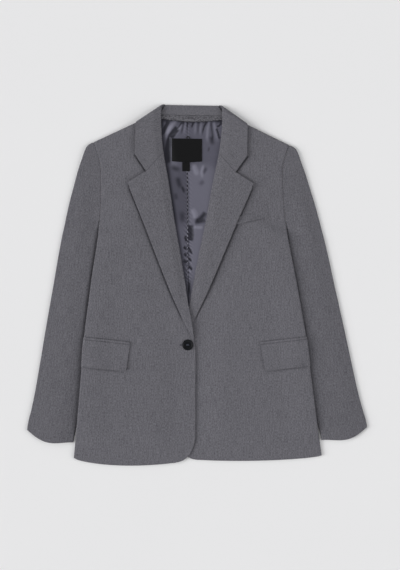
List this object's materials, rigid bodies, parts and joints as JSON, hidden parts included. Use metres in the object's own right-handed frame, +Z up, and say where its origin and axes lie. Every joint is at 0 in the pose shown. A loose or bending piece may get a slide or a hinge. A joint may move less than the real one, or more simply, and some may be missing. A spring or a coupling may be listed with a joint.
{
  "type": "single breasted blazer",
  "caption": "Single breasted blazer laid flat and buttoned, with notched lapels, flap pockets, a chest welt and a lining that shows in the opening.",
  "frame": {"origin": "middle of the garment's plan outline, on the surface it lies on", "axes": "+X towards the wearer's left side, +Y towards the collar, +Z up from the surface, out of the garment's front"},
  "size_m": [0.7152, 0.7596, 0.0119],
  "materials": {
    "suiting": "matt fine twill suiting, heather grey",
    "satin": "soft sheen satin lining, blue-grey",
    "tape": "woven black tape, bare",
    "button": "satin gloss resin, near black"
  },
  "bodies": {
    "root": {"front_right": "suiting", "front_left": "suiting", "back_right": "suiting", "back_left": "suiting", "sleeve_top_right": "suiting", "sleeve_top_left": "suiting", "sleeve_under_right": "suiting", "sleeve_under_left": "suiting", "lapel_right": "suiting", "lapel_left": "suiting", "collar": "suiting", "collar_stand": "suiting", "flap_right": "suiting", "flap_left": "suiting", "jet_right": "suiting", "jet_left": "suiting", "breast_welt": "suiting", "lining_right": "satin", "lining_left": "satin", "label": "tape", "size_tab": "tape", "hang_loop": "tape", "button": "button"}
  },
  "joints": []
}
